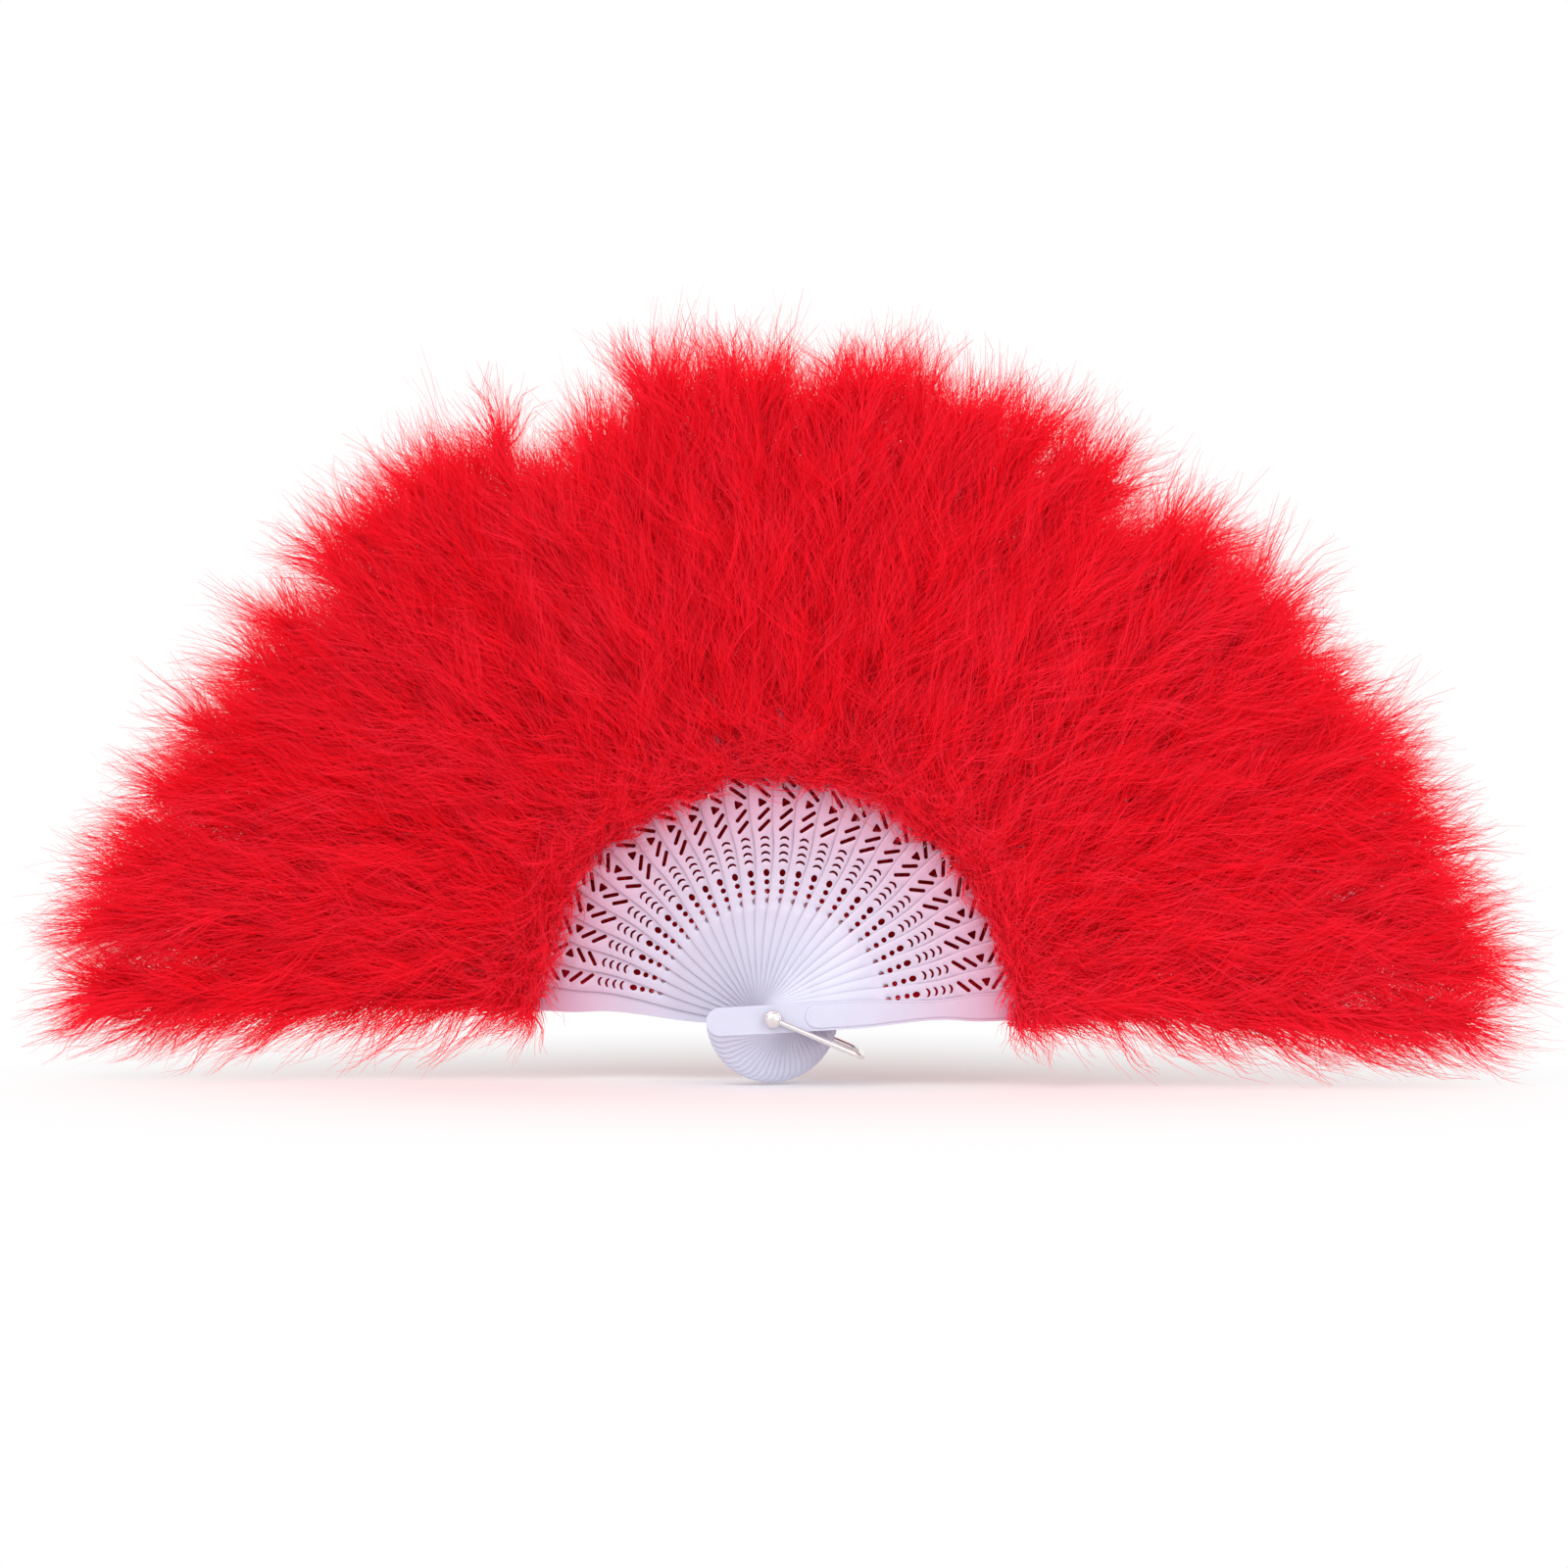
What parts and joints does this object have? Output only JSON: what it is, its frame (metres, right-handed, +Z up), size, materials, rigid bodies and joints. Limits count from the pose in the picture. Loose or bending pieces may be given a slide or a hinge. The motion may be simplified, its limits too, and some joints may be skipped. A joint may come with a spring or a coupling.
{
  "type": "folding feather fan",
  "caption": "Open folding hand fan with red marabou plumes on pierced white plastic sticks, pivoted on a metal rivet with a wire bail loop.",
  "frame": {"origin": "on the rivet's axis, half way through the stack of sticks, where a hand holds the fan", "axes": "+Z up, +X to the right of the open fan seen from its front, which faces -Y"},
  "size_m": [0.5603, 0.0545, 0.2872],
  "materials": {
    "white_plastic": "satin",
    "marabou": "matte",
    "satin_ribbon": "satin",
    "bright_metal": "polished"
  },
  "bodies": {
    "front_guard": {"right_guard_stick": "white_plastic", "right_guard_plume": "marabou", "link_ribbon": "satin_ribbon", "rivet_pin": "bright_metal", "rivet_washer": "bright_metal"},
    "leaf_01": {"stick_01": "white_plastic", "plume_01": "marabou"},
    "leaf_02": {"stick_02": "white_plastic", "plume_02": "marabou"},
    "leaf_03": {"stick_03": "white_plastic", "plume_03": "marabou"},
    "leaf_04": {"stick_04": "white_plastic", "plume_04": "marabou"},
    "leaf_05": {"stick_05": "white_plastic", "plume_05": "marabou"},
    "leaf_06": {"stick_06": "white_plastic", "plume_06": "marabou"},
    "leaf_07": {"stick_07": "white_plastic", "plume_07": "marabou"},
    "leaf_08": {"stick_08": "white_plastic", "plume_08": "marabou"},
    "leaf_09": {"stick_09": "white_plastic", "plume_09": "marabou"},
    "leaf_10": {"stick_10": "white_plastic", "plume_10": "marabou"},
    "leaf_11": {"stick_11": "white_plastic", "plume_11": "marabou"},
    "leaf_12": {"stick_12": "white_plastic", "plume_12": "marabou"},
    "leaf_13": {"stick_13": "white_plastic", "plume_13": "marabou"},
    "leaf_14": {"stick_14": "white_plastic", "plume_14": "marabou"},
    "leaf_15": {"stick_15": "white_plastic", "plume_15": "marabou"},
    "leaf_16": {"stick_16": "white_plastic", "plume_16": "marabou"},
    "leaf_17": {"stick_17": "white_plastic", "plume_17": "marabou"},
    "leaf_18": {"stick_18": "white_plastic", "plume_18": "marabou"},
    "leaf_19": {"stick_19": "white_plastic", "plume_19": "marabou"},
    "leaf_20": {"stick_20": "white_plastic", "plume_20": "marabou"},
    "leaf_21": {"stick_21": "white_plastic", "plume_21": "marabou"},
    "leaf_22": {"stick_22": "white_plastic", "plume_22": "marabou"},
    "leaf_23": {"stick_23": "white_plastic", "plume_23": "marabou"},
    "leaf_24": {"stick_24": "white_plastic", "plume_24": "marabou"},
    "leaf_25": {"stick_25": "white_plastic", "plume_25": "marabou"},
    "leaf_26": {"stick_26": "white_plastic", "plume_26": "marabou"},
    "back_guard": {"left_guard_stick": "white_plastic", "left_guard_plume": "marabou"},
    "bail": {"bail_loop": "bright_metal"}
  },
  "joints": [
    {"name": "fold", "type": "hinge", "parent": "front_guard", "child": "back_guard", "pos_m": [0, 0, 0], "axis": [0, 1, 0], "range_deg": [0, 172.5], "deforming": ["right_guard_plume", "left_guard_plume", "link_ribbon"]},
    {"name": "leaf_01_turn", "type": "hinge", "parent": "front_guard", "child": "leaf_01", "pos_m": [0, 0, 0], "axis": [0, 1, 0], "range_deg": [0, 6.4], "deforming": ["plume_01"]},
    {"name": "leaf_02_turn", "type": "hinge", "parent": "front_guard", "child": "leaf_02", "pos_m": [0, 0, 0], "axis": [0, 1, 0], "range_deg": [0, 12.79], "deforming": ["plume_02"]},
    {"name": "leaf_03_turn", "type": "hinge", "parent": "front_guard", "child": "leaf_03", "pos_m": [0, 0, 0], "axis": [0, 1, 0], "range_deg": [0, 19.18], "deforming": ["plume_03"]},
    {"name": "leaf_04_turn", "type": "hinge", "parent": "front_guard", "child": "leaf_04", "pos_m": [0, 0, 0], "axis": [0, 1, 0], "range_deg": [0, 25.57], "deforming": ["plume_04"]},
    {"name": "leaf_05_turn", "type": "hinge", "parent": "front_guard", "child": "leaf_05", "pos_m": [0, 0, 0], "axis": [0, 1, 0], "range_deg": [0, 31.95], "deforming": ["plume_05"]},
    {"name": "leaf_06_turn", "type": "hinge", "parent": "front_guard", "child": "leaf_06", "pos_m": [0, 0, 0], "axis": [0, 1, 0], "range_deg": [0, 38.34], "deforming": ["plume_06"]},
    {"name": "leaf_07_turn", "type": "hinge", "parent": "front_guard", "child": "leaf_07", "pos_m": [0, 0, 0], "axis": [0, 1, 0], "range_deg": [0, 44.73], "deforming": ["plume_07"]},
    {"name": "leaf_08_turn", "type": "hinge", "parent": "front_guard", "child": "leaf_08", "pos_m": [0, 0, 0], "axis": [0, 1, 0], "range_deg": [0, 51.12], "deforming": ["plume_08"]},
    {"name": "leaf_09_turn", "type": "hinge", "parent": "front_guard", "child": "leaf_09", "pos_m": [0, 0, 0], "axis": [0, 1, 0], "range_deg": [0, 57.51], "deforming": ["plume_09"]},
    {"name": "leaf_10_turn", "type": "hinge", "parent": "front_guard", "child": "leaf_10", "pos_m": [0, 0, 0], "axis": [0, 1, 0], "range_deg": [0, 63.9], "deforming": ["plume_10"]},
    {"name": "leaf_11_turn", "type": "hinge", "parent": "front_guard", "child": "leaf_11", "pos_m": [0, 0, 0], "axis": [0, 1, 0], "range_deg": [0, 70.29], "deforming": ["plume_11"]},
    {"name": "leaf_12_turn", "type": "hinge", "parent": "front_guard", "child": "leaf_12", "pos_m": [0, 0, 0], "axis": [0, 1, 0], "range_deg": [0, 76.68], "deforming": ["plume_12"]},
    {"name": "leaf_13_turn", "type": "hinge", "parent": "front_guard", "child": "leaf_13", "pos_m": [0, 0, 0], "axis": [0, 1, 0], "range_deg": [0, 83.07], "deforming": ["plume_13"]},
    {"name": "leaf_14_turn", "type": "hinge", "parent": "front_guard", "child": "leaf_14", "pos_m": [0, 0, 0], "axis": [0, 1, 0], "range_deg": [0, 89.45], "deforming": ["plume_14"]},
    {"name": "leaf_15_turn", "type": "hinge", "parent": "front_guard", "child": "leaf_15", "pos_m": [0, 0, 0], "axis": [0, 1, 0], "range_deg": [0, 95.84], "deforming": ["plume_15"]},
    {"name": "leaf_16_turn", "type": "hinge", "parent": "front_guard", "child": "leaf_16", "pos_m": [0, 0, 0], "axis": [0, 1, 0], "range_deg": [0, 102.23], "deforming": ["plume_16"]},
    {"name": "leaf_17_turn", "type": "hinge", "parent": "front_guard", "child": "leaf_17", "pos_m": [0, 0, 0], "axis": [0, 1, 0], "range_deg": [0, 108.62], "deforming": ["plume_17"]},
    {"name": "leaf_18_turn", "type": "hinge", "parent": "front_guard", "child": "leaf_18", "pos_m": [0, 0, 0], "axis": [0, 1, 0], "range_deg": [0, 115.01], "deforming": ["plume_18"]},
    {"name": "leaf_19_turn", "type": "hinge", "parent": "front_guard", "child": "leaf_19", "pos_m": [0, 0, 0], "axis": [0, 1, 0], "range_deg": [0, 121.4], "deforming": ["plume_19"]},
    {"name": "leaf_20_turn", "type": "hinge", "parent": "front_guard", "child": "leaf_20", "pos_m": [0, 0, 0], "axis": [0, 1, 0], "range_deg": [0, 127.79], "deforming": ["plume_20"]},
    {"name": "leaf_21_turn", "type": "hinge", "parent": "front_guard", "child": "leaf_21", "pos_m": [0, 0, 0], "axis": [0, 1, 0], "range_deg": [0, 134.18], "deforming": ["plume_21"]},
    {"name": "leaf_22_turn", "type": "hinge", "parent": "front_guard", "child": "leaf_22", "pos_m": [0, 0, 0], "axis": [0, 1, 0], "range_deg": [0, 140.57], "deforming": ["plume_22"]},
    {"name": "leaf_23_turn", "type": "hinge", "parent": "front_guard", "child": "leaf_23", "pos_m": [0, 0, 0], "axis": [0, 1, 0], "range_deg": [0, 146.95], "deforming": ["plume_23"]},
    {"name": "leaf_24_turn", "type": "hinge", "parent": "front_guard", "child": "leaf_24", "pos_m": [0, 0, 0], "axis": [0, 1, 0], "range_deg": [0, 153.34], "deforming": ["plume_24"]},
    {"name": "leaf_25_turn", "type": "hinge", "parent": "front_guard", "child": "leaf_25", "pos_m": [0, 0, 0], "axis": [0, 1, 0], "range_deg": [0, 159.73], "deforming": ["plume_25"]},
    {"name": "leaf_26_turn", "type": "hinge", "parent": "front_guard", "child": "leaf_26", "pos_m": [0, 0, 0], "axis": [0, 1, 0], "range_deg": [0, 166.12], "deforming": ["plume_26"]},
    {"name": "bail_swing", "type": "hinge", "parent": "front_guard", "child": "bail", "pos_m": [0, 0, 0], "axis": [0, 1, 0], "range_deg": [-14, 148]}
  ],
  "couplings": [
    {"joint": "leaf_01_turn", "follows": "fold", "ratio": 0.037037},
    {"joint": "leaf_02_turn", "follows": "fold", "ratio": 0.074074},
    {"joint": "leaf_03_turn", "follows": "fold", "ratio": 0.11111},
    {"joint": "leaf_04_turn", "follows": "fold", "ratio": 0.14815},
    {"joint": "leaf_05_turn", "follows": "fold", "ratio": 0.18519},
    {"joint": "leaf_06_turn", "follows": "fold", "ratio": 0.22222},
    {"joint": "leaf_07_turn", "follows": "fold", "ratio": 0.25926},
    {"joint": "leaf_08_turn", "follows": "fold", "ratio": 0.2963},
    {"joint": "leaf_09_turn", "follows": "fold", "ratio": 0.33333},
    {"joint": "leaf_10_turn", "follows": "fold", "ratio": 0.37037},
    {"joint": "leaf_11_turn", "follows": "fold", "ratio": 0.40741},
    {"joint": "leaf_12_turn", "follows": "fold", "ratio": 0.44444},
    {"joint": "leaf_13_turn", "follows": "fold", "ratio": 0.48148},
    {"joint": "leaf_14_turn", "follows": "fold", "ratio": 0.51852},
    {"joint": "leaf_15_turn", "follows": "fold", "ratio": 0.55556},
    {"joint": "leaf_16_turn", "follows": "fold", "ratio": 0.59259},
    {"joint": "leaf_17_turn", "follows": "fold", "ratio": 0.62963},
    {"joint": "leaf_18_turn", "follows": "fold", "ratio": 0.66667},
    {"joint": "leaf_19_turn", "follows": "fold", "ratio": 0.7037},
    {"joint": "leaf_20_turn", "follows": "fold", "ratio": 0.74074},
    {"joint": "leaf_21_turn", "follows": "fold", "ratio": 0.77778},
    {"joint": "leaf_22_turn", "follows": "fold", "ratio": 0.81481},
    {"joint": "leaf_23_turn", "follows": "fold", "ratio": 0.85185},
    {"joint": "leaf_24_turn", "follows": "fold", "ratio": 0.88889},
    {"joint": "leaf_25_turn", "follows": "fold", "ratio": 0.92593},
    {"joint": "leaf_26_turn", "follows": "fold", "ratio": 0.96296}
  ]
}
